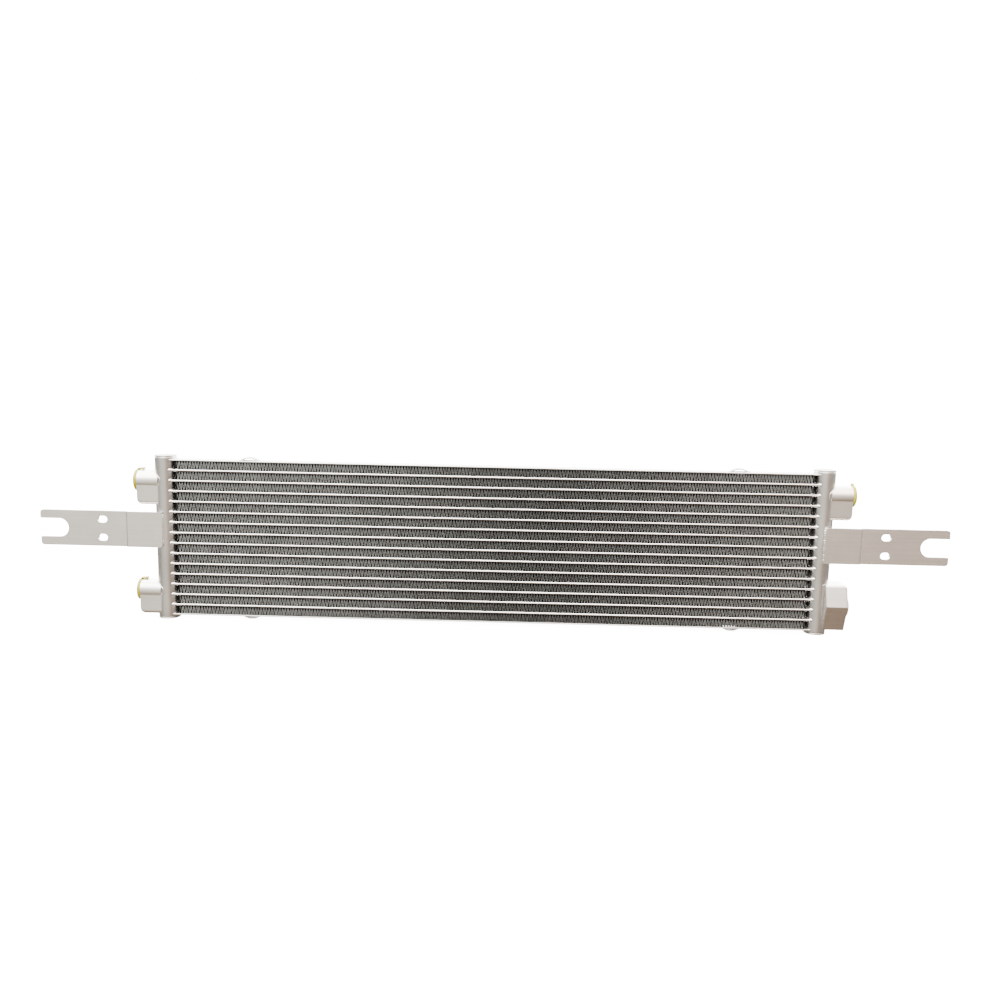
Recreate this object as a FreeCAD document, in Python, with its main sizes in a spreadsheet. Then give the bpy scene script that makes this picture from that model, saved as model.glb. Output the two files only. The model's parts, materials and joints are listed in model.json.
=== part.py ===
"""Parallel-flow hydraulic oil cooler, brazed aluminium.

All sizes are millimetres. The origin is the middle of the core: +X runs along the flat
tubes to the right-hand header, +Y runs to the back and +Z runs up.
"""

import FreeCAD
import Part
import math
import os
import Sketcher

DIMENSIONS = {
    # Flat multi-port tubes
    "tube_count": 14,
    "tube_pitch": 10.0,
    "tube_thickness": 2.0,
    "tube_depth": 16.0,
    "tube_span": 621.0,
    "channel_count": 8,
    "channel_pitch": 1.75,
    "channel_width": 1.35,
    "channel_height": 1.2,
    # Corrugated fin rows between the tubes
    "fin_span": 601.0,
    "fin_wave": 2.6,
    "fin_sheet": 0.15,
    "fin_gap": 0.02,
    # Side plates and the expansion bridges lanced out of them
    "plate_thickness": 1.2,
    "bridge_offset": 231.0,
    "bridge_length": 24.0,
    "bridge_flat": 12.0,
    "bridge_width": 8.0,
    "bridge_rise": 3.2,
    # Headers, their end caps and baffles
    "header_offset": 312.0,
    "header_radius": 10.0,
    "header_wall": 1.5,
    "header_length": 155.0,
    "slot_clearance": 0.05,
    "tube_slot_depth": "=tube_depth + 2 * slot_clearance",
    "tube_slot_height": "=tube_thickness + 2 * slot_clearance",
    "lid_flange": 1.5,
    "lid_plug": 1.2,
    "lid_chamfer": 0.4,
    "lid_clearance": 0.02,
    "baffle_thickness": 1.2,
    # Ports, measured from the header axis
    "upper_port_level": 54.3,
    "lower_port_level": -52.0,
    "port_reach": 25.2,
    "port_setback": 5.0,
    "port_bore": 11.0,
    "mouth_bore": 14.0,
    "mouth_depth": 7.0,
    "screw_bore": 6.0,
    "screw_depth": 11.0,
    "screw_drop": 14.5,
    # Barrel-and-tongue port blocks
    "barrel_radius": 10.0,
    "tongue_depth": 18.0,
    "tongue_drop": 22.5,
    "tongue_round": 3.5,
    # Wide faceted port block
    "facet_half_height": 22.2,
    "facet_ridge": 16.0,
    "facet_ridge_rise": 2.2,
    "facet_top": 10.7,
    "facet_bottom": 8.0,
    "facet_round": 2.5,
    "saddle_height": 60.0,
    # Transit caps
    "transit_flange_radius": 10.6,
    "transit_flange": 3.2,
    "transit_shoulder": 2.2,
    "transit_shoulder_radius": 9.5,
    "transit_dome": 1.0,
    "transit_crown_radius": 5.3,
    "transit_plug_length": 5.0,
    "transit_plug_wall": 1.3,
    "transit_plug_draft": 0.4,
    "transit_plug_chamfer": 0.5,
    "transit_clearance": 0.05,
    "transit_seat": 0.05,
    "ear_length": 7.5,
    "ear_width": 5.0,
    "ear_height": 1.8,
    "ear_gap": 0.25,
    "ear_post": 3.2,
    # Mounting brackets
    "bracket_root": 312.6,
    "bracket_end": 429.3,
    "bracket_height": 34.0,
    "bracket_level": 8.2,
    "bracket_sheet": 3.2,
    "bracket_seat": 9.6,
    "joggle_start": 345.3,
    "joggle_end": 347.4,
    "joggle_step": 2.0,
    "fork_width": 17.5,
    "fork_depth": 26.7,
    "fork_length": "=2 * fork_depth",
    "slot_width": 6.5,
    "slot_length": 9.0,
    "slot_spacing": 17.5,
    "slot_offset": 370.0,
    "bracket_corner": 3.0,
    "weld_leg": 9.0,
    "weld_rise": 4.0,
    "weld_height": 27.0,
}

SIDES = {"left": -1, "right": 1}
LEVELS = {"upper": 1, "lower": -1}

# Outlines are first drawn at about this size, before their expressions take over.
FIRST_SIZE = 10.0
# Room for rounding when edges are picked by where they lie.
NEAR = 0.01


def make_sheet(doc):
    """Keep the driving dimensions in a spreadsheet, one aliased cell each."""
    sheet = doc.addObject("Spreadsheet::Sheet", "Sizes")
    for row, (alias, value) in enumerate(DIMENSIONS.items(), start=1):
        sheet.set(f"A{row}", alias)
        sheet.set(f"B{row}", str(value))
        sheet.setAlias(f"B{row}", alias)
    doc.recompute()


def size(doc, alias):
    """Read one driving dimension as a number."""
    return float(doc.Sizes.get(alias))


def origin_feature(body, role):
    """Find one of a body's own origin planes or axes by its role."""
    for feature in body.Origin.OriginFeatures:
        if feature.Role == role:
            return feature
    raise ValueError(f"no origin feature {role}")


def make_body(doc, label):
    """Start an empty body that will become one sub-part."""
    body = doc.addObject("PartDesign::Body", label)
    body.Label = label
    return body


def place(part, **positions):
    """Bind the coordinates of a sub-part's placement to expressions."""
    for axis, expression in positions.items():
        part.setExpression(f"Placement.Base.{axis}", expression)


def make_sketch(body, name, plane, **offsets):
    """Attach a sketch to a body's origin plane, shifted in the plane's own axes."""
    sketch = body.newObject("Sketcher::SketchObject", name)
    sketch.AttachmentSupport = [(origin_feature(body, plane), "")]
    sketch.MapMode = "FlatFace"
    for axis, expression in offsets.items():
        sketch.setExpression(f"AttachmentOffset.Base.{axis}", expression)
    return sketch


def bind(sketch, kind, *where, value, expression):
    """Add a driving constraint and bind it to an expression."""
    index = sketch.addConstraint(Sketcher.Constraint(kind, *where, value))
    sketch.setExpression(f"Constraints[{index}]", expression)


def draw_circle(sketch, radius):
    """Draw a circle about the sketch's origin."""
    circle = Part.Circle(FreeCAD.Vector(), FreeCAD.Vector(0, 0, 1), FIRST_SIZE)
    index = sketch.addGeometry(circle, False)
    sketch.addConstraint(Sketcher.Constraint("Coincident", index, 3, -1, 1))
    bind(sketch, "Radius", index, value=FIRST_SIZE, expression=radius)


def draw_rectangle(sketch, width, height):
    """Draw a rectangle centred on the sketch's origin."""
    half = FIRST_SIZE / 2
    signs = ((-1, -1), (1, -1), (1, 1), (-1, 1))
    corners = [FreeCAD.Vector(half * x, half * y, 0) for x, y in signs]
    first = sketch.GeometryCount
    for index, corner in enumerate(corners):
        sketch.addGeometry(Part.LineSegment(corner, corners[(index + 1) % 4]), False)
    for index in range(4):
        following = first + (index + 1) % 4
        sketch.addConstraint(Sketcher.Constraint("Coincident", first + index, 2, following, 1))
    for index in (0, 2):
        sketch.addConstraint(Sketcher.Constraint("Horizontal", first + index))
        sketch.addConstraint(Sketcher.Constraint("Vertical", first + index + 1))
    sketch.addConstraint(Sketcher.Constraint("Symmetric", first, 1, first + 2, 1, -1, 1))
    bind(sketch, "DistanceX", first, 1, first, 2, value=FIRST_SIZE, expression=width)
    bind(sketch, "DistanceY", first + 1, 1, first + 1, 2, value=FIRST_SIZE, expression=height)


def draw_obround(sketch, length, thickness):
    """Draw a slot shape with round ends along the sketch's X, from two named dimensions."""
    up = FreeCAD.Vector(0, 0, 1)
    radius = size(sketch.Document, thickness) / 2
    reach = size(sketch.Document, length) / 2 - radius
    quarter = math.pi / 2
    ends = []
    for side, start in ((-1, quarter), (1, -quarter)):
        circle = Part.Circle(FreeCAD.Vector(side * reach, 0, 0), up, radius)
        ends.append(sketch.addGeometry(Part.ArcOfCircle(circle, start, start + math.pi), False))
    flats = []
    for side in (-1, 1):
        start = FreeCAD.Vector(side * reach, side * radius, 0)
        finish = FreeCAD.Vector(-side * reach, side * radius, 0)
        flats.append(sketch.addGeometry(Part.LineSegment(start, finish), False))
    left, right = ends
    below, above = flats
    joints = ((left, below), (below, right), (right, above), (above, left))
    for first, second in joints:
        sketch.addConstraint(Sketcher.Constraint("Tangent", first, 2, second, 1))
    sketch.addConstraint(Sketcher.Constraint("Horizontal", below))
    sketch.addConstraint(Sketcher.Constraint("Symmetric", left, 3, right, 3, -1, 1))
    bind(sketch, "Radius", right, value=radius, expression=f"Sizes.{thickness} / 2")
    span = f"Sizes.{length} - Sizes.{thickness}"
    bind(sketch, "DistanceX", left, 3, right, 3, value=2 * reach, expression=span)


def draw_polygon(sketch, points):
    """Draw a closed outline whose corners are given as pairs of expressions."""
    count = len(points)
    corners = []
    for index in range(count):
        turn = 2 * math.pi * index / count
        corners.append(FreeCAD.Vector(math.cos(turn), math.sin(turn), 0) * FIRST_SIZE)
    first = sketch.GeometryCount
    for index in range(count):
        line = Part.LineSegment(corners[index], corners[(index + 1) % count])
        sketch.addGeometry(line, False)
    for index in range(count):
        following = first + (index + 1) % count
        sketch.addConstraint(Sketcher.Constraint("Coincident", first + index, 2, following, 1))
    for index, (across, along_y) in enumerate(points):
        corner = (-1, 1, first + index, 1)
        bind(sketch, "DistanceX", *corner, value=corners[index].x, expression=across)
        bind(sketch, "DistanceY", *corner, value=corners[index].y, expression=along_y)


def pad(body, name, sketch, length, **settings):
    """Extrude a sketch by the length an expression gives."""
    feature = body.newObject("PartDesign::Pad", name)
    feature.Profile = sketch
    feature.setExpression("Length", length)
    for key, value in settings.items():
        setattr(feature, key, value)
    sketch.Visibility = False
    return feature


def pocket(body, name, sketch, length, **settings):
    """Cut a sketch into the body and make sure that it removed material."""
    body.Document.recompute()
    before = body.Shape.Volume
    feature = body.newObject("PartDesign::Pocket", name)
    feature.Profile = sketch
    feature.setExpression("Length", length)
    for key, value in settings.items():
        setattr(feature, key, value)
    body.Document.recompute()
    if body.Shape.Volume > before - NEAR:
        raise RuntimeError(f"{body.Label}: {name} cuts nothing")
    return feature


def repeat(body, name, feature, axis, length, count, backwards=False):
    """Repeat a feature in a row along one of the body's axes."""
    pattern = body.newObject("PartDesign::LinearPattern", name)
    pattern.Originals = [feature]
    pattern.Direction = (origin_feature(body, axis), [""])
    pattern.Reversed = backwards
    pattern.setExpression("Length", length)
    pattern.setExpression("Occurrences", count)
    body.Tip = pattern
    return pattern


def edges_where(shape, test):
    """Name the straight edges of a shape whose middle and direction pass a test."""
    names = []
    for index, edge in enumerate(shape.Edges, start=1):
        if isinstance(edge.Curve, Part.Line):
            middle = edge.valueAt((edge.FirstParameter + edge.LastParameter) / 2)
            if test(middle, edge.Curve.Direction):
                names.append(f"Edge{index}")
    if not names:
        raise RuntimeError("no edge passes the test")
    return names


def round_edges(body, name, radius, test):
    """Fillet the body's straight edges that pass a test."""
    body.Document.recompute()
    base = body.Tip
    fillet = body.newObject("PartDesign::Fillet", name)
    fillet.Base = (base, edges_where(base.Shape, test))
    fillet.setExpression("Radius", radius)
    body.Document.recompute()


def along(direction, axis):
    """Tell whether a direction runs along the named axis."""
    return abs(getattr(direction, axis)) > 0.99


# ---------------------------------------------------------------- core


def make_tube(doc, number):
    """One flat extruded tube with a row of oil channels through its length."""
    tube = make_body(doc, f"tube_{number:02d}")
    outline = make_sketch(tube, "Outline", "YZ_Plane")
    draw_obround(outline, "tube_depth", "tube_thickness")
    pad(tube, "Extrusion", outline, "Sizes.tube_span", Midplane=True)
    first_channel = "-(Sizes.channel_count - 1) * Sizes.channel_pitch / 2"
    channel = make_sketch(tube, "Channel", "YZ_Plane", x=first_channel)
    draw_rectangle(channel, "Sizes.channel_width", "Sizes.channel_height")
    cut = pocket(tube, "ChannelCut", channel, "Sizes.tube_span", Midplane=True)
    row_length = "(Sizes.channel_count - 1) * Sizes.channel_pitch"
    repeat(tube, "Channels", cut, "Y_Axis", row_length, "Sizes.channel_count")
    place(tube, z=f"((Sizes.tube_count + 1) / 2 - {number}) * Sizes.tube_pitch")
    return tube


def wave_outline(doc):
    """Outline of one corrugated sheet in its own XZ plane, as a closed list of points."""
    wave = size(doc, "fin_wave")
    count = int(size(doc, "fin_span") // wave)
    room = size(doc, "tube_pitch") - size(doc, "tube_thickness") - 2 * size(doc, "fin_gap")
    # A zig-zag sheet measured straight up is thicker than the sheet itself.
    lift = size(doc, "fin_sheet") * math.hypot(wave / 2, room) / wave
    crest = room / 2 - lift
    start = -count * wave / 2
    upper = []
    lower = []
    for step in range(2 * count + 1):
        x = start + step * wave / 2
        z = crest if step % 2 else -crest
        upper.append(FreeCAD.Vector(x, 0, z + lift))
        lower.append(FreeCAD.Vector(x, 0, z - lift))
    return upper + lower[::-1] + upper[:1]


def make_fin(doc, number):
    """One corrugated fin row: a thin sheet folded up and down between two tubes."""
    depth = size(doc, "tube_depth")
    face = Part.Face(Part.makePolygon(wave_outline(doc)))
    fin = doc.addObject("Part::Feature", f"fin_{number:02d}")
    fin.Label = f"fin_{number:02d}"
    fin.Shape = face.extrude(FreeCAD.Vector(0, depth, 0))
    fin.setExpression("Placement.Base.y", "-Sizes.tube_depth / 2")
    fin.setExpression(
        "Placement.Base.z", f"(Sizes.tube_count / 2 + 1 - {number}) * Sizes.tube_pitch"
    )
    return fin


def make_side_plate(doc, level, sign):
    """Side plate that closes the core, with two bridges lanced upward out of its middle."""
    plate = make_body(doc, f"side_plate_{level}")
    outline = make_sketch(plate, "Outline", "XY_Plane")
    draw_rectangle(outline, "Sizes.tube_span", "Sizes.tube_depth")
    pad(plate, "Strip", outline, "Sizes.plate_thickness")
    for side, direction in SIDES.items():
        centre = f"{direction} * Sizes.bridge_offset"
        window = make_sketch(plate, f"Window_{side}", "XY_Plane", x=centre)
        draw_rectangle(window, "Sizes.bridge_length", "Sizes.bridge_width")
        pocket(plate, f"WindowCut_{side}", window, "Sizes.plate_thickness", Reversed=True)
        bridge = make_sketch(plate, f"Bridge_{side}", "XZ_Plane", x=centre)
        draw_polygon(bridge, bridge_outline())
        pad(plate, f"BridgePad_{side}", bridge, "Sizes.bridge_width", Midplane=True)
    # The lower plate is the same piece turned over about the X axis.
    if sign < 0:
        plate.Placement.Rotation = FreeCAD.Rotation(FreeCAD.Vector(1, 0, 0), 180)
    level_of_face = "((Sizes.tube_count + 1) * Sizes.tube_pitch - Sizes.tube_thickness) / 2"
    place(plate, z=f"{sign} * ({level_of_face})")
    return plate


def bridge_outline():
    """Side view of one bridge: a flat-topped arch as thick as the plate."""
    foot = "Sizes.bridge_length / 2"
    knee = "Sizes.bridge_flat / 2"
    sheet = "Sizes.plate_thickness"
    rise = "Sizes.bridge_rise"
    return [
        (f"-({foot})", "0"),
        (f"-({knee})", rise),
        (knee, rise),
        (foot, "0"),
        (foot, sheet),
        (knee, f"{rise} + {sheet}"),
        (f"-({knee})", f"{rise} + {sheet}"),
        (f"-({foot})", sheet),
    ]


# ---------------------------------------------------------------- headers


def make_header(doc, side, sign):
    """Round header tube, slotted on its inner side for the tubes and the side plates."""
    header = make_body(doc, f"header_{side}")
    outline = make_sketch(header, "Outline", "XY_Plane")
    draw_circle(outline, "Sizes.header_radius")
    draw_circle(outline, "Sizes.header_radius - Sizes.header_wall")
    pad(header, "Tube", outline, "Sizes.header_length", Midplane=True)

    # A pocket on the YZ plane cuts towards -X, and towards +X when it is reversed.
    inward = sign < 0
    row = "(Sizes.tube_count - 1) * Sizes.tube_pitch"
    slot = make_sketch(header, "Slot", "YZ_Plane", y=f"-({row}) / 2")
    draw_obround(slot, "tube_slot_depth", "tube_slot_height")
    cut = pocket(header, "SlotCut", slot, "Sizes.header_radius", Reversed=inward)
    repeat(header, "Slots", cut, "Z_Axis", row, "Sizes.tube_count")

    plate_face = "((Sizes.tube_count + 1) * Sizes.tube_pitch - Sizes.tube_thickness) / 2"
    middle = f"({plate_face} + Sizes.plate_thickness / 2)"
    for level, up in LEVELS.items():
        end_slot = make_sketch(header, f"PlateSlot_{level}", "YZ_Plane", y=f"{up} * {middle}")
        plate_slot_height = "Sizes.plate_thickness + 2 * Sizes.slot_clearance"
        draw_rectangle(end_slot, "Sizes.tube_slot_depth", plate_slot_height)
        pocket(header, f"PlateSlotCut_{level}", end_slot, "Sizes.header_radius", Reversed=inward)
        port = make_sketch(header, f"Port_{level}", "YZ_Plane", y=f"Sizes.{level}_port_level")
        draw_circle(port, "Sizes.port_bore / 2")
        pocket(header, f"PortCut_{level}", port, "Sizes.header_radius", Reversed=not inward)
    place(header, x=f"{sign} * Sizes.header_offset")
    return header


def make_header_lid(doc, level, up, side, sign):
    """Header end cap: a chamfered disc with a spigot brazed into the header's bore."""
    lid = make_body(doc, f"header_cap_{level}_{side}")
    disc = make_sketch(lid, "Disc", "XY_Plane")
    draw_circle(disc, "Sizes.header_radius")
    pad(lid, "Flange", disc, "Sizes.lid_flange")
    spigot = make_sketch(lid, "Spigot", "XY_Plane")
    draw_circle(spigot, "Sizes.header_radius - Sizes.header_wall - Sizes.lid_clearance")
    pad(lid, "SpigotPad", spigot, "Sizes.lid_plug", Reversed=True)
    doc.recompute()
    base = lid.Tip
    rim = max(range(len(base.Shape.Edges)), key=lambda index: rim_score(base.Shape.Edges[index]))
    chamfer = lid.newObject("PartDesign::Chamfer", "RimChamfer")
    chamfer.Base = (base, [f"Edge{rim + 1}"])
    chamfer.setExpression("Size", "Sizes.lid_chamfer")
    if up < 0:
        lid.Placement.Rotation = FreeCAD.Rotation(FreeCAD.Vector(1, 0, 0), 180)
    place(lid, x=f"{sign} * Sizes.header_offset", z=f"{up} * Sizes.header_length / 2")
    return lid


def rim_score(edge):
    """Rank a circular edge higher the further up it lies."""
    return edge.CenterOfMass.z if isinstance(edge.Curve, Part.Circle) else -math.inf


def make_baffle(doc, side, sign):
    """Disc that parts the upper and lower chambers inside a header."""
    baffle = doc.addObject("Part::Cylinder", f"baffle_{side}")
    baffle.Label = f"baffle_{side}"
    radius = "Sizes.header_radius - Sizes.header_wall - Sizes.lid_clearance"
    baffle.setExpression("Radius", radius)
    baffle.setExpression("Height", "Sizes.baffle_thickness")
    place(baffle, x=f"{sign} * Sizes.header_offset", z="-Sizes.baffle_thickness / 2")
    return baffle


# ---------------------------------------------------------------- ports


def cut_saddle(block):
    """Hollow the block's inner end to the round of the header it is brazed to."""
    saddle = make_sketch(block, "Saddle", "XY_Plane")
    draw_circle(saddle, "Sizes.header_radius")
    pocket(block, "SaddleCut", saddle, "Sizes.saddle_height", Midplane=True)


def cut_port(block, screw_height):
    """Bore the oil way, widen its mouth and add the blind screw hole beside it."""
    reach = "Sizes.port_reach"
    way = make_sketch(block, "OilWay", "YZ_Plane")
    draw_circle(way, "Sizes.port_bore / 2")
    pocket(block, "OilWayCut", way, reach, Reversed=True)
    mouth = make_sketch(block, "Mouth", "YZ_Plane", z=reach)
    draw_circle(mouth, "Sizes.mouth_bore / 2")
    pocket(block, "MouthCut", mouth, "Sizes.mouth_depth")
    screw = make_sketch(block, "Screw", "YZ_Plane", y=screw_height, z=reach)
    draw_circle(screw, "Sizes.screw_bore / 2")
    pocket(block, "ScrewCut", screw, "Sizes.screw_depth")


def place_block(block, level, sign):
    """Set a block on its header; a left-hand block is turned half round about Z."""
    if sign < 0:
        block.Placement.Rotation = FreeCAD.Rotation(FreeCAD.Vector(0, 0, 1), 180)
    place(block, x=f"{sign} * Sizes.header_offset", z=f"Sizes.{level}_port_level")


def make_barrel_block(doc, level, side, sign):
    """Port block with a round barrel over a thick tongue that takes the clamp screw."""
    block = make_body(doc, f"port_block_{level}_{side}")
    length = "Sizes.port_reach - Sizes.port_setback"
    tongue = make_sketch(
        block, "Tongue", "YZ_Plane", y="-Sizes.tongue_drop / 2", z="Sizes.port_setback"
    )
    draw_rectangle(tongue, "Sizes.tongue_depth", "Sizes.tongue_drop")
    pad(block, "TonguePad", tongue, length)
    reach = size(doc, "port_reach")
    drop = size(doc, "tongue_drop")

    def is_lower_edge(middle, direction):
        at_foot = abs(middle.z + drop) < NEAR
        return at_foot and (along(direction, "x") or middle.x > reach - NEAR)

    round_edges(block, "TongueRound", "Sizes.tongue_round", is_lower_edge)
    barrel = make_sketch(block, "Barrel", "YZ_Plane", z="Sizes.port_setback")
    draw_circle(barrel, "Sizes.barrel_radius")
    pad(block, "BarrelPad", barrel, length)
    cut_saddle(block)
    cut_port(block, "-Sizes.screw_drop")
    place_block(block, level, sign)
    return block


def make_facet_block(doc, level, side, sign):
    """Wider port block: its front and back faces each meet in a ridge just above the port."""
    block = make_body(doc, f"port_block_{level}_{side}")
    outline = make_sketch(block, "Outline", "YZ_Plane", z="Sizes.port_setback")
    top = "Sizes.facet_half_height"
    draw_polygon(
        outline,
        [
            ("-Sizes.facet_ridge", "Sizes.facet_ridge_rise"),
            ("-Sizes.facet_bottom", f"-{top}"),
            ("Sizes.facet_bottom", f"-{top}"),
            ("Sizes.facet_ridge", "Sizes.facet_ridge_rise"),
            ("Sizes.facet_top", top),
            ("-Sizes.facet_top", top),
        ],
    )
    pad(block, "Facets", outline, "Sizes.port_reach - Sizes.port_setback")
    reach = size(doc, "port_reach")
    half_height = size(doc, "facet_half_height")

    def is_outer_edge(middle, direction):
        at_top_end = middle.x > reach - NEAR and abs(middle.z - half_height) < NEAR
        return along(direction, "x") or at_top_end

    round_edges(block, "Rounds", "Sizes.facet_round", is_outer_edge)
    cut_saddle(block)
    cut_port(block, "Sizes.screw_drop")
    place_block(block, level, sign)
    return block


def make_transit_cap(doc, level, side, sign):
    """Push-in transit cap: domed flange, hollow plug and a pull ear over the block."""
    cap = make_body(doc, f"transit_cap_{level}_{side}")
    plug = "Sizes.mouth_bore / 2 - Sizes.transit_clearance"
    hollow = f"{plug} - Sizes.transit_plug_wall"
    tip = "-Sizes.transit_plug_length"
    chamfer = "Sizes.transit_plug_chamfer"
    rim = "Sizes.transit_flange_radius"
    flange = "Sizes.transit_flange"
    stem = "Sizes.transit_shoulder"
    outline = make_sketch(cap, "Outline", "XZ_Plane")
    draw_polygon(
        outline,
        [
            ("0", hollow),
            (tip, f"{hollow} + Sizes.transit_plug_draft"),
            (tip, f"{plug} - {chamfer}"),
            (f"{tip} + {chamfer}", plug),
            ("0", plug),
            ("0", rim),
            (stem, rim),
            (flange, "Sizes.transit_shoulder_radius"),
            (f"{flange} + Sizes.transit_dome * 2 / 3", "Sizes.transit_crown_radius"),
            (f"{flange} + Sizes.transit_dome", "0"),
            (f"{flange} / 2", "0"),
            (f"{flange} / 2", f"{hollow} - Sizes.transit_plug_wall"),
        ],
    )
    turned = cap.newObject("PartDesign::Revolution", "Turned")
    turned.Profile = outline
    turned.ReferenceAxis = (origin_feature(cap, "X_Axis"), [""])
    turned.Angle = 360
    post = make_sketch(cap, "EarPost", "YZ_Plane", y=rim)
    draw_rectangle(post, "Sizes.ear_width", "Sizes.ear_post")
    pad(cap, "EarPostPad", post, stem)
    # A left-hand cap's ear is folded back along the top of the barrel.
    if sign < 0:
        middle = "Sizes.barrel_radius + Sizes.ear_gap + Sizes.ear_height / 2"
        ear = make_sketch(cap, "Ear", "YZ_Plane", y=middle, z=stem)
        draw_rectangle(ear, "Sizes.ear_width", "Sizes.ear_height")
        pad(cap, "EarPad", ear, "Sizes.ear_length", Reversed=True)
    if sign < 0:
        cap.Placement.Rotation = FreeCAD.Rotation(FreeCAD.Vector(0, 0, 1), 180)
    face = "Sizes.header_offset + Sizes.port_reach + Sizes.transit_seat"
    place(cap, x=f"{sign} * ({face})", z=f"Sizes.{level}_port_level")
    return cap


# ---------------------------------------------------------------- brackets


def make_bracket(doc, side, sign):
    """Mounting strap: welded to the header's front, joggled back, forked at its free end."""
    bracket = make_body(doc, f"bracket_{side}")
    front = "-(Sizes.bracket_seat + Sizes.bracket_sheet)"
    step = "Sizes.joggle_step"
    strap = make_sketch(bracket, "Strap", "XY_Plane")
    draw_polygon(
        strap,
        [
            ("Sizes.bracket_root", front),
            ("Sizes.joggle_start", front),
            ("Sizes.joggle_end", f"{front} + {step}"),
            ("Sizes.bracket_end", f"{front} + {step}"),
            ("Sizes.bracket_end", f"-Sizes.bracket_seat + {step}"),
            ("Sizes.joggle_end", f"-Sizes.bracket_seat + {step}"),
            ("Sizes.joggle_start", "-Sizes.bracket_seat"),
            ("Sizes.bracket_root", "-Sizes.bracket_seat"),
        ],
    )
    pad(bracket, "StrapPad", strap, "Sizes.bracket_height", Midplane=True)
    round_bracket_corners(bracket)
    cut_fork(bracket)
    for level, up in LEVELS.items():
        slot = make_sketch(
            bracket,
            f"Slot_{level}",
            "XZ_Plane",
            x="Sizes.slot_offset",
            y=f"{up} * Sizes.slot_spacing / 2",
        )
        draw_obround(slot, "slot_length", "slot_width")
        pocket(bracket, f"SlotCut_{level}", slot, "Sizes.bracket_height", Midplane=True)
    add_weld(bracket)
    # The left-hand strap is the right-hand one turned half round about the Y axis.
    if sign < 0:
        bracket.Placement.Rotation = FreeCAD.Rotation(FreeCAD.Vector(0, 1, 0), 180)
    place(bracket, z="Sizes.bracket_level")
    return bracket


def add_weld(bracket):
    """Fill the wedge between the strap and the header's outer side with weld metal."""
    weld = make_sketch(bracket, "Weld", "XY_Plane")
    seat = "-Sizes.bracket_seat"
    toe = "Sizes.header_offset + Sizes.weld_leg"
    draw_polygon(
        weld,
        [
            ("Sizes.bracket_root", f"{seat} - Sizes.bracket_sheet / 2"),
            (toe, f"{seat} - Sizes.bracket_sheet / 2"),
            (toe, seat),
            (f"{toe} - Sizes.weld_rise / 4", f"{seat} + Sizes.weld_rise"),
            ("Sizes.bracket_root", f"{seat} + Sizes.weld_rise"),
        ],
    )
    pad(bracket, "WeldPad", weld, "Sizes.weld_height", Midplane=True)
    saddle = make_sketch(bracket, "Saddle", "XY_Plane", x="Sizes.header_offset")
    draw_circle(saddle, "Sizes.header_radius")
    pocket(bracket, "SaddleCut", saddle, "Sizes.saddle_height", Midplane=True)


def cut_fork(bracket):
    """Open the strap's free end with a round-bottomed slot."""
    fork = make_sketch(bracket, "Fork", "XZ_Plane", x="Sizes.bracket_end")
    draw_obround(fork, "fork_length", "fork_width")
    pocket(bracket, "ForkCut", fork, "Sizes.bracket_height", Midplane=True)


def round_bracket_corners(bracket):
    """Round the outer corners of both prongs and one corner of the welded end."""
    doc = bracket.Document
    root = size(doc, "bracket_root")
    end = size(doc, "bracket_end")
    half_height = size(doc, "bracket_height") / 2

    def is_corner(middle, direction):
        outer = abs(middle.x - end) < NEAR and abs(abs(middle.z) - half_height) < NEAR
        inner = abs(middle.x - root) < NEAR and abs(middle.z - half_height) < NEAR
        return along(direction, "y") and (outer or inner)

    round_edges(bracket, "Corners", "Sizes.bracket_corner", is_corner)


# ---------------------------------------------------------------- whole cooler


def make_parts(doc):
    """Build every sub-part of the cooler."""
    tube_count = int(size(doc, "tube_count"))
    parts = [make_tube(doc, number) for number in range(1, tube_count + 1)]
    parts += [make_fin(doc, number) for number in range(1, tube_count + 2)]
    parts.append(make_side_plate(doc, "top", 1))
    parts.append(make_side_plate(doc, "bottom", -1))
    for side, sign in SIDES.items():
        parts.append(make_header(doc, side, sign))
        parts.append(make_baffle(doc, side, sign))
        parts.append(make_bracket(doc, side, sign))
        for level, up in LEVELS.items():
            parts.append(make_header_lid(doc, level, up, side, sign))
            parts.append(make_transit_cap(doc, level, side, sign))
    for level, side in (("upper", "left"), ("lower", "left"), ("upper", "right")):
        parts.append(make_barrel_block(doc, level, side, SIDES[side]))
    parts.append(make_facet_block(doc, "lower", "right", SIDES["right"]))
    return parts


def check(doc, parts):
    """Stop if any object failed or any sub-part has no valid shape."""
    for item in doc.Objects:
        if "Invalid" in item.State or "Error" in item.State:
            raise RuntimeError(f"{item.Name} failed: {item.State}")
    for part in parts:
        if part.Shape.isNull() or not part.Shape.isValid():
            raise RuntimeError(f"{part.Label} has no valid shape")
        if len(part.Shape.Solids) != 1:
            raise RuntimeError(f"{part.Label} has {len(part.Shape.Solids)} solids")


def main():
    """Build the document, check it and write one file for each sub-part."""
    doc = FreeCAD.newDocument("OilCooler")
    make_sheet(doc)
    parts = make_parts(doc)
    doc.recompute()
    check(doc, parts)
    os.makedirs("parts", exist_ok=True)
    for part in parts:
        part.Shape.exportStep(f"parts/{part.Label}.step")


main()
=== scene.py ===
"""Parallel-flow hydraulic oil cooler: the visible model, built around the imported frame."""

import bpy
import bmesh
import json
import math
from mathutils import Matrix, Vector, noise


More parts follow.
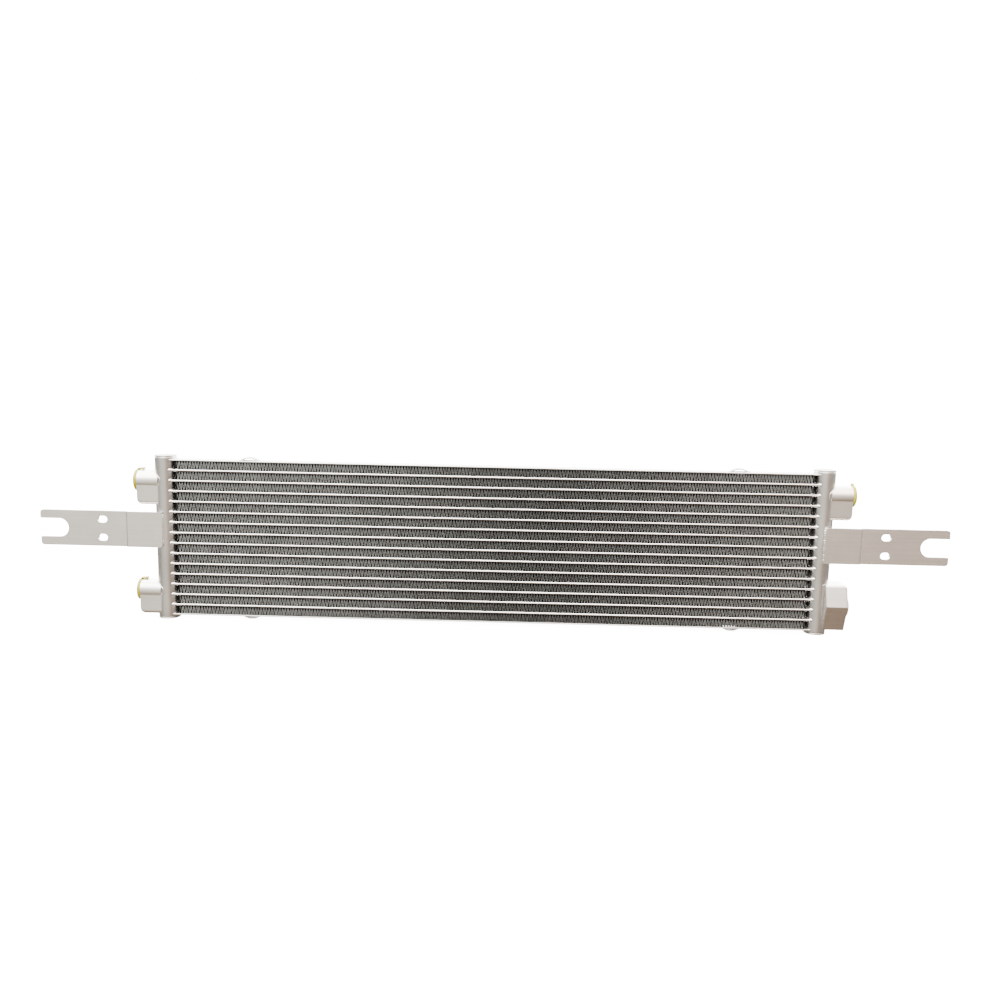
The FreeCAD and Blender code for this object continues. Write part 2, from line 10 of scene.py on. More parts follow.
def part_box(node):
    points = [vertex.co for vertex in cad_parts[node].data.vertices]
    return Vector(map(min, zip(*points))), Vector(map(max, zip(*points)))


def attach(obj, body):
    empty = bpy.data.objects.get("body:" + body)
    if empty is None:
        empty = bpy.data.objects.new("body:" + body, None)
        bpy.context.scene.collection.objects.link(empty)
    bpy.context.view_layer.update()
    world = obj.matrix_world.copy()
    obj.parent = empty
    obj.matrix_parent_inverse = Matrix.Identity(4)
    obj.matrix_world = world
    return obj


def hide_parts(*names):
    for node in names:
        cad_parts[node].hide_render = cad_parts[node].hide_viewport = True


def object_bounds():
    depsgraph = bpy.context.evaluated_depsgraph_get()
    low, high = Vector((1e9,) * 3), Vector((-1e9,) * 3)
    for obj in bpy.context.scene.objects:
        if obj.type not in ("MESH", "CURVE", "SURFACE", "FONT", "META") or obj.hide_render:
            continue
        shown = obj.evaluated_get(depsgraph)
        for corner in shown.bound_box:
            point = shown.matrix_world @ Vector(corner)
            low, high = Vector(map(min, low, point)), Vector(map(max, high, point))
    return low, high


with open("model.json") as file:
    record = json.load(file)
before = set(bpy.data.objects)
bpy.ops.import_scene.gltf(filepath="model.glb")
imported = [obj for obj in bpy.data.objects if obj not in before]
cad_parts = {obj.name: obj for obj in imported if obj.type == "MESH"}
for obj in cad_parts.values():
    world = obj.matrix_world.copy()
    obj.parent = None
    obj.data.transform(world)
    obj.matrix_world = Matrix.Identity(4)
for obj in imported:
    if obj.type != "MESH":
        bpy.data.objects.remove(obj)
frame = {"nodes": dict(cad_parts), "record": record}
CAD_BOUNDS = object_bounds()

MM = 0.001
BODY = "core"
MOUNTS = {mount["name"]: mount for mount in frame["record"]["mounts"]}
NODES = [part["node"] for part in frame["record"]["subparts"]]
SIDES = {"left": -1, "right": 1}
LEVELS = {"upper": 1, "lower": -1}


# ---------------------------------------------------------------- sizes


def middle(node):
    """Middle of a node's box."""
    low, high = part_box(node)
    return (Vector(low) + Vector(high)) / 2


def extent(node):
    """Size of a node's box along the three axes."""
    low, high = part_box(node)
    return Vector(high) - Vector(low)


HEADER_RADIUS = extent("header_left").x / 2
HEADER_X = middle("header_right").x
TUBES = [node for node in NODES if node.startswith("tube_")]
FINS = [node for node in NODES if node.startswith("fin_")]
TUBE_LEVELS = [middle(node).z for node in TUBES]
TUBE_PITCH = TUBE_LEVELS[0] - TUBE_LEVELS[1]

# Flat tubes: their sag, and the braze metal that climbs them at a header.
TUBE_SAG = 0.08 * MM
BRAZE_SWELL = 0.6 * MM
BRAZE_REACH = 2.2 * MM

# Fin rows: the folded sheet, how unevenly it is folded, and the louvres in its legs.
FIN_WAVE = 2.6 * MM
FIN_SHEET = 0.26 * MM
FIN_INSET = 0.25 * MM
FOLD_HALF_WIDTH = 0.28 * MM
FOLD_DROP = 0.35 * MM
FOLD_DRIFT = 0.08 * MM
FOLD_JITTER = 0.03 * MM
LOUVRES = 6
LOUVRE_WIDTH = 2.5 * MM
LOUVRE_SHEET = 0.13 * MM
LOUVRE_TILT = math.radians(33)
LOUVRE_SHARE = 0.9
LOUVRED_DEPTH = 0.92

# Side plates and the bridges raised out of them.
PLATE_SHEET = 1.2 * MM
PLATE_ROUND = 0.35 * PLATE_SHEET
BRIDGE_OFFSET = 231 * MM
BRIDGE_LENGTH = 24 * MM
BRIDGE_FLAT = 3 * MM
BRIDGE_WIDTH = 8 * MM
BRIDGE_STEPS = 32
# Radius of a corner that is left square.
SQUARE = 0.001 * MM

# Headers: the dent round each tube, the broken end edge and the end caps.
HEADER_STEP = 0.8 * MM
HEADER_CHAMFER = 0.35 * MM
DENT_DEPTH = 0.55 * MM
DENT_HEIGHT = 1.9 * MM
DENT_SPREAD = math.radians(62)
DENT_EDGE = math.radians(14)
LID_FLANGE = 1.5 * MM
LID_CHAMFER = 0.4 * MM
LID_DISH = 0.45 * MM
LID_PLUG = 1.1 * MM
LID_PLUG_INSET = 1.6 * MM

# Port blocks and the openings in their faces.
BARREL_RADIUS = 10 * MM
TONGUE_HALF_WIDTH = 9 * MM
TONGUE_ROUND = 3.5 * MM
FACET_RIDGE = 16 * MM
FACET_RIDGE_RISE = 2.2 * MM
FACET_CROWN = 10.7 * MM
FACET_FOOT = 8 * MM
FACET_ROUND = 2.5 * MM
BLOCK_BEVEL = 0.35 * MM
MOUTH_RADIUS = 7 * MM
MOUTH_DEPTH = 7 * MM
MOUTH_CONE = 0.5 * MM
THREAD_PITCH = 1 * MM
THREAD_DEPTH = 0.45 * MM
CUT_CLEAR = 1 * MM

# Transit caps.
CAP_RIM = 10.6 * MM
CAP_SEAT = 0.05 * MM
PLUG_LENGTH = 5 * MM
PLUG_WALL = 1.3 * MM
PLUG_GAP = 0.05 * MM
EAR_HALF_WIDTH = 2.4 * MM
EAR_ROUND = 0.5 * MM
EAR_PLACE = 1.1 * MM

# Mounting straps and their welds.
STRAP_SHEET = 3.2 * MM
STRAP_CORNER = 3 * MM
STRAP_EDGE = 0.35 * MM
FORK_CORNER = 0.8 * MM
JOGGLE_START = 345.3 * MM
JOGGLE_END = 347.4 * MM
WELD_INSET = 2.5 * MM
WELD_STEPS = 60
BEAD_WANDER = 0.25
BEAD_END = 0.4
# A direction that no bead runs along.
ASKEW = Vector((0.31, 0.17, 0.93))

# Largest bend, in degrees, that is shaded as a round and not as an edge.
SMOOTH_ANGLE = 38


# ---------------------------------------------------------------- mesh helpers


def make_piece(name, shape, material, body=BODY, replaces=(), angle=SMOOTH_ANGLE):
    """Turn vertices and faces into a shaded piece that rides on a body."""
    vertices, faces = shape
    mesh = bpy.data.meshes.new(name)
    mesh.from_pydata([tuple(vertex) for vertex in vertices], [], faces)
    clean_mesh(mesh)
    piece = bpy.data.objects.new(name, mesh)
    bpy.context.collection.objects.link(piece)
    mesh.materials.append(material)
    shade(mesh, angle)
    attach(piece, body)
    if replaces:
        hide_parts(*replaces)
    return piece


def clean_mesh(mesh):
    """Weld poles, drop empty faces and point every face outward."""
    work = bmesh.new()
    work.from_mesh(mesh)
    bmesh.ops.remove_doubles(work, verts=work.verts, dist=1e-7)
    bmesh.ops.dissolve_degenerate(work, edges=work.edges, dist=1e-7)
    bmesh.ops.recalc_face_normals(work, faces=work.faces)
    work.to_mesh(mesh)
    work.free()


def shade(mesh, angle):
    """Shade a mesh smooth except across edges sharper than an angle."""
    mesh.shade_smooth()
    mesh.set_sharp_from_angle(angle=math.radians(angle))


def skin(rings, ends=True):
    """Join a row of rings with the same number of points into one surface."""
    count = len(rings[0])
    vertices = [point for ring in rings for point in ring]
    faces = []
    for row in range(len(rings) - 1):
        for index in range(count):
            first = row * count + index
            second = row * count + (index + 1) % count
            faces.append((first, second, second + count, first + count))
    if ends:
        faces.append(tuple(range(count)))
        faces.append(tuple(range(len(vertices) - count, len(vertices))))
    return vertices, faces


def join(shapes):
    """Put several shapes into one list of vertices and faces."""
    vertices = []
    faces = []
    for more_vertices, more_faces in shapes:
        start = len(vertices)
        vertices += more_vertices
        faces += [tuple(index + start for index in face) for face in more_faces]
    return vertices, faces


def arc(centre, radius, start, finish, steps):
    """Points on an arc, with angles in degrees counted from the first axis."""
    points = []
    for step in range(steps + 1):
        angle = math.radians(start + (finish - start) * step / steps)
        points.append((centre[0] + radius * math.cos(angle), centre[1] + radius * math.sin(angle)))
    return points


def round_polygon(corners, radii, steps=6):
    """Outline of a convex polygon with each corner rounded to its own radius."""
    points = []
    count = len(corners)
    for index, radius in enumerate(radii):
        corner = Vector(corners[index])
        before = (Vector(corners[index - 1]) - corner).normalized()
        after = (Vector(corners[(index + 1) % count]) - corner).normalized()
        half = before.angle(after) / 2
        centre = corner + (before + after).normalized() * radius / math.sin(half)
        reach = radius / math.tan(half)
        first = corner + before * reach - centre
        last = corner + after * reach - centre
        sweep = first.angle_signed(last)
        for step in range(steps + 1):
            turned = first.copy()
            angle = -sweep * step / steps
            turned.rotate(Matrix.Rotation(angle, 2))
            points.append(tuple(centre + turned))
    return points


def smooth_step(value):
    """Ease from 0 to 1."""
    value = min(max(value, 0.0), 1.0)
    return value * value * (3 - 2 * value)


def lathe(profile, centre, direction, segments):
    """Turn a profile of (distance along, radius) pairs about a line through a point."""
    direction = Vector(direction).normalized()
    across = direction.orthogonal().normalized()
    up = direction.cross(across)
    rings = []
    for distance, radius in profile:
        ring = []
        for segment in range(segments):
            angle = 2 * math.pi * segment / segments
            spoke = across * math.cos(angle) + up * math.sin(angle)
            ring.append(Vector(centre) + direction * distance + spoke * radius)
        rings.append(ring)
    return skin(rings, ends=False)


def bead(points, radius, ripple, pitch, seed, closed=False, segments=10):
    """Weld or braze bead: a rippled round cord laid along a line of points."""
    count = len(points)
    rings = []
    travelled = 0.0
    for index, point in enumerate(points):
        before = points[index - 1] if closed or index else point
        after = points[(index + 1) % count] if closed or index < count - 1 else point
        tangent = (after - before).normalized()
        across = tangent.cross(ASKEW).normalized()
        up = tangent.cross(across)
        travelled += (point - before).length
        swell = 1 + ripple * math.sin(2 * math.pi * travelled / pitch)
        swell += BEAD_WANDER * noise.noise(Vector((travelled / pitch, seed, 0.5)))
        if not closed and index in (0, count - 1):
            swell *= BEAD_END
        ring = []
        for segment in range(segments):
            angle = 2 * math.pi * segment / segments
            ring.append(point + (across * math.cos(angle) + up * math.sin(angle)) * radius * swell)
        rings.append(ring)
    if closed:
        rings.append(rings[0])
    return skin(rings, ends=not closed)


def apply_modifiers(piece):
    """Replace a piece's mesh by what its modifiers make of it."""
    graph = bpy.context.evaluated_depsgraph_get()
    mesh = bpy.data.meshes.new_from_object(piece.evaluated_get(graph))
    piece.modifiers.clear()
    piece.data = mesh


def even_out(piece, angle):
    """Shade large faces flat and let only the narrow rounded faces between them bend light."""
    shade(piece.data, angle)
    modifier = piece.modifiers.new("Even", "WEIGHTED_NORMAL")
    modifier.weight = 100
    modifier.keep_sharp = True
    apply_modifiers(piece)


def bevel(piece, width, angle):
    """Break the sharp edges of a piece."""
    modifier = piece.modifiers.new("Edges", "BEVEL")
    modifier.width = width
    modifier.segments = 2
    modifier.limit_method = "ANGLE"
    modifier.angle_limit = math.radians(angle)
    modifier.use_clamp_overlap = True
    apply_modifiers(piece)


def carve(piece, shapes):
    """Cut closed shapes out of a piece."""
    for shape in shapes:
        mesh = bpy.data.meshes.new("cutter")
        mesh.from_pydata([tuple(vertex) for vertex in shape[0]], [], shape[1])
        clean_mesh(mesh)
        cutter = bpy.data.objects.new("cutter", mesh)
        bpy.context.collection.objects.link(cutter)
        modifier = piece.modifiers.new("Cut", "BOOLEAN")
        modifier.operation = "DIFFERENCE"
        modifier.solver = "EXACT"
        modifier.object = cutter
        apply_modifiers(piece)
        bpy.data.objects.remove(cutter)
    shade(piece.data, SMOOTH_ANGLE)


# ---------------------------------------------------------------- materials

# Noise scales, per metre: cloudy tone, drawn marks and fine specks.
CLOUD_SCALE = 38.0
DRAWN_SCALE = 900.0
SPECK_SCALE = 2600.0
RUBBED_WIDTH = 0.5 * MM
BUMP_DEPTH = 0.1 * MM

# Fin rows, with light and shade painted into their colour: how deep their front edges stay bright,
# how far the painted shade by a header reaches, where along the core the painted shade is darkest,
# and how much light is left there, in the painted shadow under a tube and deep inside.
FIN_PAINTED_BRIGHT = 0.9 * MM
FIN_PAINTED_END_SHADE = 3 * MM
PAINTED_DARK_PLACE = 0.16
PAINTED_DARK_REACH = 0.9
PAINTED_LIGHT_AT_DARKEST = 0.45
PAINTED_LIGHT_UNDER_TUBE = 0.3
PAINTED_LIGHT_INSIDE = 0.02


def add_node(tree, kind, inputs=None, **settings):
    """Add a shader node, set its options, and set or link its inputs."""
    node = tree.nodes.new(kind)
    for key, value in settings.items():
        setattr(node, key, value)
    for key, value in (inputs or {}).items():
        socket = node.inputs[key]
        if isinstance(value, bpy.types.NodeSocket):
            tree.links.new(value, socket)
        else:
            socket.default_value = value
    return node


def ramp(tree, factor, stops):
    """Colour ramp through (position, colour) stops."""
    node = add_node(tree, "ShaderNodeValToRGB", {"Fac": factor})
    elements = node.color_ramp.elements
    while len(elements) < len(stops):
        elements.new(0.5)
    for element, (position, colour) in zip(elements, stops):
        element.position = position
        element.color = (*colour, 1.0)
    return node.outputs["Color"]


def mix_colours(tree, factor, first, second, blend="MIX"):
    """Blend two colours."""
    node = add_node(tree, "ShaderNodeMix", data_type="RGBA", blend_type=blend)
    for index, value in ((0, factor), (6, first), (7, second)):
        socket = node.inputs[index]
        if isinstance(value, bpy.types.NodeSocket):
            tree.links.new(value, socket)
        elif index:
            socket.default_value = (*value, 1.0)
        else:
            socket.default_value = value
    return node.outputs[2]


def maths(tree, operation, first, second=0.0, clamp=False):
    """One arithmetic step."""
    node = add_node(tree, "ShaderNodeMath", {0: first, 1: second}, operation=operation)
    node.use_clamp = clamp
    return node.outputs[0]


def noise_texture(tree, place, scale, detail, stretch=(1, 1, 1)):
    """Noise fixed to the piece, stretched to give drawn or brushed marks."""
    mapped = add_node(tree, "ShaderNodeMapping", {"Vector": place, "Scale": stretch})
    texture = add_node(
        tree,
        "ShaderNodeTexNoise",
        {"Vector": mapped.outputs[0], "Scale": scale, "Detail": detail, "Roughness": 0.55},
    )
    return texture.outputs["Fac"]


def edge_mask(tree, radius):
    """White on rounded and sharp edges, black on flats."""
    rounded = add_node(tree, "ShaderNodeBevel", {"Radius": radius}, samples=6)
    straight = add_node(tree, "ShaderNodeNewGeometry")
    dot = add_node(
        tree,
        "ShaderNodeVectorMath",
        {0: rounded.outputs[0], 1: straight.outputs["Normal"]},
        operation="DOT_PRODUCT",
    )
    lost = maths(tree, "SUBTRACT", 1.0, dot.outputs["Value"])
    return maths(tree, "MULTIPLY", lost, 4.0, clamp=True)


def aluminium(name, light, dark, metallic, roughness, stretch, grain=0.04, edges=True):
    """Bare aluminium: cloudy tone, drawn marks, fine grain and lighter rubbed edges."""
    material = bpy.data.materials.new(name)
    material.use_nodes = True
    tree = material.node_tree
    shader = tree.nodes["Principled BSDF"]
    place = add_node(tree, "ShaderNodeTexCoord").outputs["Object"]
    cloud = noise_texture(tree, place, CLOUD_SCALE, detail=5.0)
    drawn = noise_texture(tree, place, DRAWN_SCALE, detail=4.0, stretch=stretch)
    speck = noise_texture(tree, place, SPECK_SCALE, detail=2.0)
    tone = ramp(tree, cloud, [(0.3, dark), (0.7, light)])
    marks = ramp(tree, drawn, [(0.35, (0.95, 0.95, 0.95)), (0.65, (1.0, 1.0, 1.0))])
    tone = mix_colours(tree, 1.0, tone, marks, "MULTIPLY")
    specks = ramp(tree, speck, [(0.28, (0.86, 0.855, 0.84)), (0.42, (1.0, 1.0, 1.0))])
    tone = mix_colours(tree, 0.6, tone, specks, "MULTIPLY")
    if edges:
        rubbed = tuple(min(1.0, channel * 1.12) for channel in light)
        tone = mix_colours(tree, edge_mask(tree, RUBBED_WIDTH), tone, rubbed)
    tree.links.new(tone, shader.inputs["Base Color"])
    shader.inputs["Metallic"].default_value = metallic
    spread = maths(tree, "MULTIPLY", drawn, 0.1)
    level = maths(tree, "ADD", spread, roughness - 0.05)
    tree.links.new(level, shader.inputs["Roughness"])
    height = maths(tree, "ADD", drawn, maths(tree, "MULTIPLY", speck, 0.6))
    bump = add_node(
        tree, "ShaderNodeBump", {"Height": height, "Strength": grain, "Distance": BUMP_DEPTH}
    )
    tree.links.new(bump.outputs[0], shader.inputs["Normal"])
    return material


def fin_aluminium_painted_shade():
    """Fin stock with painted shade: bright front edges, painted shade deep in a row, painted shadow
    under a tube, painted shade by a header and mid-core.
    """
    light = (0.76, 0.80, 0.815)
    dark = (0.62, 0.655, 0.67)
    material = aluminium("fin_aluminium_painted_shade", light, dark, 0.8, 0.4, (1, 0.1, 1), edges=False)
    tree = material.node_tree
    shader = tree.nodes["Principled BSDF"]
    tone = shader.inputs["Base Color"].links[0].from_socket
    place = add_node(tree, "ShaderNodeTexCoord").outputs["Object"]
    split = add_node(tree, "ShaderNodeSeparateXYZ", {0: place})
    half_span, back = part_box(FINS[0])[1][:2]
    # Painted shade: the fin colour darkens from the bright front edge into the row.
    depth = fade(tree, split.outputs["Y"], back - FIN_PAINTED_BRIGHT, back)
    # Painted shade where the fins run in by a header.
    ends = fade(tree, split.outputs["X"], half_span, half_span - FIN_PAINTED_END_SHADE)
    # Painted shade along the core, darkest a little right of the middle.
    offset = maths(tree, "SUBTRACT", split.outputs["X"], PAINTED_DARK_PLACE * half_span)
    along = keep_light(tree, fade(tree, offset, 0.0, PAINTED_DARK_REACH * half_span), PAINTED_LIGHT_AT_DARKEST)
    # Painted shadow under the tube above each fin row.
    rows = maths(tree, "ADD", maths(tree, "DIVIDE", split.outputs["Z"], TUBE_PITCH), 0.5)
    place_in_row = maths(tree, "FRACT", rows)
    under = keep_light(tree, fade(tree, place_in_row, 0.9, 0.6), PAINTED_LIGHT_UNDER_TUBE)
    # All the painted light and shade of a fin, multiplied together.
    painted_light_level = maths(tree, "MULTIPLY", maths(tree, "MULTIPLY", depth, ends), along)
    painted_light_level = maths(tree, "MULTIPLY", painted_light_level, under)
    # Painted shade deep inside a row leaves only a little light.
    painted_light_level = keep_light(tree, painted_light_level, PAINTED_LIGHT_INSIDE)
    # Painted shade: the fin colour is blended towards black where the painted light is low.
    tone = mix_colours(tree, painted_light_level, (0.0, 0.0, 0.0), tone)
    tree.links.new(tone, shader.inputs["Base Color"])
    return material


def fade(tree, value, start, finish):
    """Rise from 0 to 1 as the size of a value goes from one limit to the other."""
    size = maths(tree, "ABSOLUTE", value)
    node = add_node(
        tree,
        "ShaderNodeMapRange",
        {"Value": size, "From Min": start, "From Max": finish},
        interpolation_type="SMOOTHSTEP",
    )
    return node.outputs[0]


def keep_light(tree, value, least):
    """Bring a 0 to 1 light level up so that it never falls below its least value."""
    return maths(tree, "ADD", maths(tree, "MULTIPLY", value, 1 - least), least)


def cap_plastic():
    """Soft moulded yellow plastic, slightly translucent."""
    material = bpy.data.materials.new("transit_cap_plastic")
    material.use_nodes = True
    tree = material.node_tree
    shader = tree.nodes["Principled BSDF"]
    place = add_node(tree, "ShaderNodeTexCoord").outputs["Object"]
    cloud = noise_texture(tree, place, 120.0, detail=3.0)
    grain = noise_texture(tree, place, 3500.0, detail=2.0)
    tone = ramp(tree, cloud, [(0.3, (0.34, 0.31, 0.0)), (0.7, (0.42, 0.39, 0.001))])
    tree.links.new(tone, shader.inputs["Base Color"])
    shader.inputs["Subsurface Weight"].default_value = 0.25
    shader.inputs["Subsurface Radius"].default_value = (2 * MM, 1.5 * MM, 0.4 * MM)
    shader.inputs["Subsurface Scale"].default_value = 1.0
    level = maths(tree, "ADD", maths(tree, "MULTIPLY", grain, 0.2), 0.32)
    tree.links.new(level, shader.inputs["Roughness"])
    bump = add_node(
        tree, "ShaderNodeBump", {"Height": grain, "Strength": 0.1, "Distance": BUMP_DEPTH}
    )
    tree.links.new(bump.outputs[0], shader.inputs["Normal"])
    return material


def make_materials():
    """One finish for each kind of piece."""
    return {
        "tube": aluminium(
            "tube_aluminium", (0.97, 0.965, 0.95), (0.90, 0.89, 0.87), 1.0, 0.25, (0.02, 1, 1)
        ),
        "fin": fin_aluminium_painted_shade(),
        "side_plate": aluminium(
            "side_plate_aluminium", (0.90, 0.89, 0.87), (0.80, 0.79, 0.77), 1.0, 0.32, (0.02, 1, 1)
        ),
        "header": aluminium(
            "header_aluminium", (0.71, 0.695, 0.67), (0.56, 0.545, 0.52), 1.0, 0.3, (1, 1, 0.03)
        ),
        "port_block": aluminium(
            "port_block_aluminium", (0.92, 0.91, 0.885), (0.84, 0.83, 0.80), 1.0, 0.3, (0.04, 1, 1)
        ),
        "bracket": aluminium(
            "bracket_aluminium", (0.90, 0.875, 0.84), (0.82, 0.80, 0.765), 1.0, 0.3, (0.03, 1, 1)
        ),
        "weld": aluminium(
            "weld_aluminium", (0.92, 0.91, 0.89), (0.70, 0.68, 0.65), 1.0, 0.3, (1, 1, 1), grain=0.5
        ),
        "transit_cap": cap_plastic(),
    }


# ---------------------------------------------------------------- core


def nose_outline(depth, thickness):
    """Flat tube's cross-section: (y, z) points with half-round noses, and their normals."""
    radius = thickness / 2
    reach = depth / 2 - radius
    outline = []
    for centre, start in ((reach, -90), (-reach, 90)):
        for y, z in arc((centre, 0), radius, start, start + 180, 8):
            outline.append((y, z, (y - centre) / radius, z / radius))
    return outline


def tube_stations(half_span):
    """Places along a tube: sparse over the core, close together at the headers."""
    plain = HEADER_X - HEADER_RADIUS - 2 * MM
    steps = 40
    end_steps = 18
    stations = [plain * (2 * step / steps - 1) for step in range(steps + 1)]
    ends = [plain + (half_span - plain) * step / end_steps for step in range(1, end_steps + 1)]
    return [-x for x in reversed(ends)] + stations + ends


def braze_swell(x, y):
    """How far braze metal builds up on a tube near the header's surface."""
    surface = HEADER_X - math.sqrt(max(HEADER_RADIUS ** 2 - y ** 2, 0.0))
    gap = surface - abs(x)
    if gap <= 0:
        return BRAZE_SWELL
    return BRAZE_SWELL * max(0.0, 1 - gap / BRAZE_REACH) ** 2


def build_tube(node, material):
    """Flat tube with round noses, a slight sag and braze fillets at both headers."""
    centre = middle(node)
    span = extent(node)
    outline = nose_outline(span.y, span.z)
    rings = []
    for x in tube_stations(span.x / 2):
        sag = TUBE_SAG * noise.noise(Vector((x * 30, centre.z * 90, 0.0)))
        ring = []
        for y, z, normal_y, normal_z in outline:
            swell = braze_swell(x, y)
            ring.append(Vector((x, y + normal_y * swell, centre.z + z + sag + normal_z * swell)))
        rings.append(ring)
    make_piece(f"flat_{node}", skin(rings), material, replaces=[node])


def fin_folds(node, seed):
    """Crest and trough places of one fin row, slightly uneven as folded sheet is."""
    low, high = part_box(node)
    count = 2 * round((high[0] - low[0]) / FIN_WAVE)
    step = (high[0] - low[0]) / count
    folds = []
    for index in range(count + 1):
        shift = FOLD_DRIFT * noise.noise(Vector((index * 0.11, seed * 7.3, 0.2)))
        shift += FOLD_JITTER * noise.noise(Vector((index * 1.9, seed * 3.1, 4.7)))
        if index in (0, count):
            shift = 0.0
        folds.append((low[0] + index * step + shift, 1 if index % 2 else -1))
    return folds


def fin_path(folds, half_height):
    """Centre line of the folded sheet: three points round each crest and trough."""
    path = []
    shoulder = half_height - FOLD_DROP
    for x, side in folds:
        path.append(Vector((x - FOLD_HALF_WIDTH, 0, side * shoulder)))
        path.append(Vector((x, 0, side * half_height)))
        path.append(Vector((x + FOLD_HALF_WIDTH, 0, side * shoulder)))
    return path[1:-1]


def sheet_solid(path, level, front, back):
    """Give a centre line its sheet thickness and carry it from front to back."""
    outer = []
    inner = []
    for index, point in enumerate(path):
        before = path[max(index - 1, 0)]
        after = path[min(index + 1, len(path) - 1)]
        tangent = (after - before).normalized()
        offset = Vector((-tangent.z, 0, tangent.x)) * FIN_SHEET / 2
        outer.append(point + offset)
        inner.append(point - offset)
    ring = outer + inner[::-1]
    lift = Vector((0, 0, level))
    vertices = [point + lift + Vector((0, y, 0)) for y in (front, back) for point in ring]
    count = len(ring)
    half = len(path)
    faces = []
    for index in range(count):
        following = (index + 1) % count
        faces.append((index, following, following + count, index + count))
    for offset in (0, count):
        for index in range(half - 1):
            partner = count - 1 - index
            faces.append(
                (offset + index, offset + index + 1, offset + partner - 1, offset + partner)
            )
    return vertices, faces


def louvre(place, height, tilt):
    """One louvre: a thin upright slat turned out of a fin leg."""
    across = Vector((math.sin(tilt), math.cos(tilt), 0)) * LOUVRE_WIDTH / 2
    thick = Vector((math.cos(tilt), -math.sin(tilt), 0)) * LOUVRE_SHEET / 2
    along = Vector((0, 0, height / 2))
    rings = []
    for end in (-1, 1):
        corners = ((-1, -1), (1, -1), (1, 1), (-1, 1))
        rings.append([place + along * end + across * side + thick * face for side, face in corners])
    return skin(rings)


def build_fin(node, seed, material):
    """Corrugated fin row with louvred legs."""
    low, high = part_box(node)
    level = (low[2] + high[2]) / 2
    half_height = (high[2] - low[2]) / 2 - FIN_SHEET / 2
    folds = fin_folds(node, seed)
    path = fin_path(folds, half_height)
    shapes = [sheet_solid(path, level, low[1] + FIN_INSET, high[1] - FIN_INSET)]
    row_depth = (high[1] - low[1]) * LOUVRED_DEPTH
    for (x, _), (next_x, _) in zip(folds, folds[1:]):
        for index in range(LOUVRES):
            share = (index + 0.5) / LOUVRES - 0.5
            tilt = LOUVRE_TILT if share < 0 else -LOUVRE_TILT
            place = Vector(((x + next_x) / 2, share * row_depth, level))
            shapes.append(louvre(place, 2 * half_height * LOUVRE_SHARE, tilt))
    make_piece(f"louvred_{node}", join(shapes), material, replaces=[node], angle=30)


def bridge_height(x, rise):
    """How far the middle strip of a side plate stands off the core."""
    offset = abs(abs(x) - BRIDGE_OFFSET)
    ramp_length = (BRIDGE_LENGTH - BRIDGE_FLAT) / 2
    return rise * smooth_step((BRIDGE_LENGTH / 2 - offset) / ramp_length)


def strip(stations, y_low, y_high, face, up, rise, rounded):
    """One long strip of a side plate, raised at the bridges, with the flagged corners rounded."""
    corners = [(y_low, 0.0), (y_high, 0.0), (y_high, PLATE_SHEET), (y_low, PLATE_SHEET)]
    radii = [PLATE_ROUND if flag else SQUARE for flag in rounded]
    outline = round_polygon(corners, radii, steps=3)
    rings = []
    for x in stations:
        lift = bridge_height(x, rise)
        rings.append([Vector((x, y, face + up * (z + lift))) for y, z in outline])
    return skin(rings)


def build_side_plate(node, up, material):
    """Side plate: flat edges run straight, and its middle is raised in two bridges."""
    low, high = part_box(node)
    rise = high[2] - low[2] - PLATE_SHEET
    face = low[2] if up > 0 else high[2]
    half_span = (high[0] - low[0]) / 2
    stations = set(tube_stations(half_span))
    for side in (-1, 1):
        for step in range(BRIDGE_STEPS + 1):
            stations.add(side * BRIDGE_OFFSET + BRIDGE_LENGTH * (step / BRIDGE_STEPS - 0.5))
    stations = sorted(stations)
    inner = BRIDGE_WIDTH / 2
    shapes = [
        strip(stations, low[1], -inner, face, up, 0.0, (True, False, False, True)),
        strip(stations, -inner, inner, face, up, rise, (False, False, False, False)),
        strip(stations, inner, high[1], face, up, 0.0, (False, True, True, False)),
    ]
    make_piece(f"lanced_{node}", join(shapes), material, replaces=[node], angle=50)


# ---------------------------------------------------------------- headers


def header_dent(angle, z):
    """Depth of the pierced slot's lip: the wall is pressed in round each tube."""
    if angle > DENT_SPREAD:
        return 0.0
    across = smooth_step((DENT_SPREAD - angle) / DENT_EDGE)
    nearest = min(abs(z - level) for level in TUBE_LEVELS)
    return DENT_DEPTH * across * math.exp(-((nearest / DENT_HEIGHT) ** 2))


def build_header(side, sign, material):
    """Header tube whose inner side is pressed in round every flat tube."""
    node = f"header_{side}"
    low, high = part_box(node)
    steps = round((high[2] - low[2]) / HEADER_STEP)
    segments = 96
    rings = []
    for step in range(steps + 1):
        z = low[2] + (high[2] - low[2]) * step / steps
        from_end = min(z - low[2], high[2] - z)
        chamfer = HEADER_CHAMFER * (1 - smooth_step(from_end / HEADER_STEP))
        ring = []
        for segment in range(segments):
            angle = 2 * math.pi * segment / segments
            inward = abs((angle + math.pi) % (2 * math.pi) - math.pi)
            radius = HEADER_RADIUS - chamfer - header_dent(inward, z)
            x = sign * (HEADER_X - radius * math.cos(angle))
            ring.append(Vector((x, radius * math.sin(angle), z)))
        rings.append(ring)
    make_piece(f"pierced_{node}", skin(rings), material, replaces=[node], angle=50)


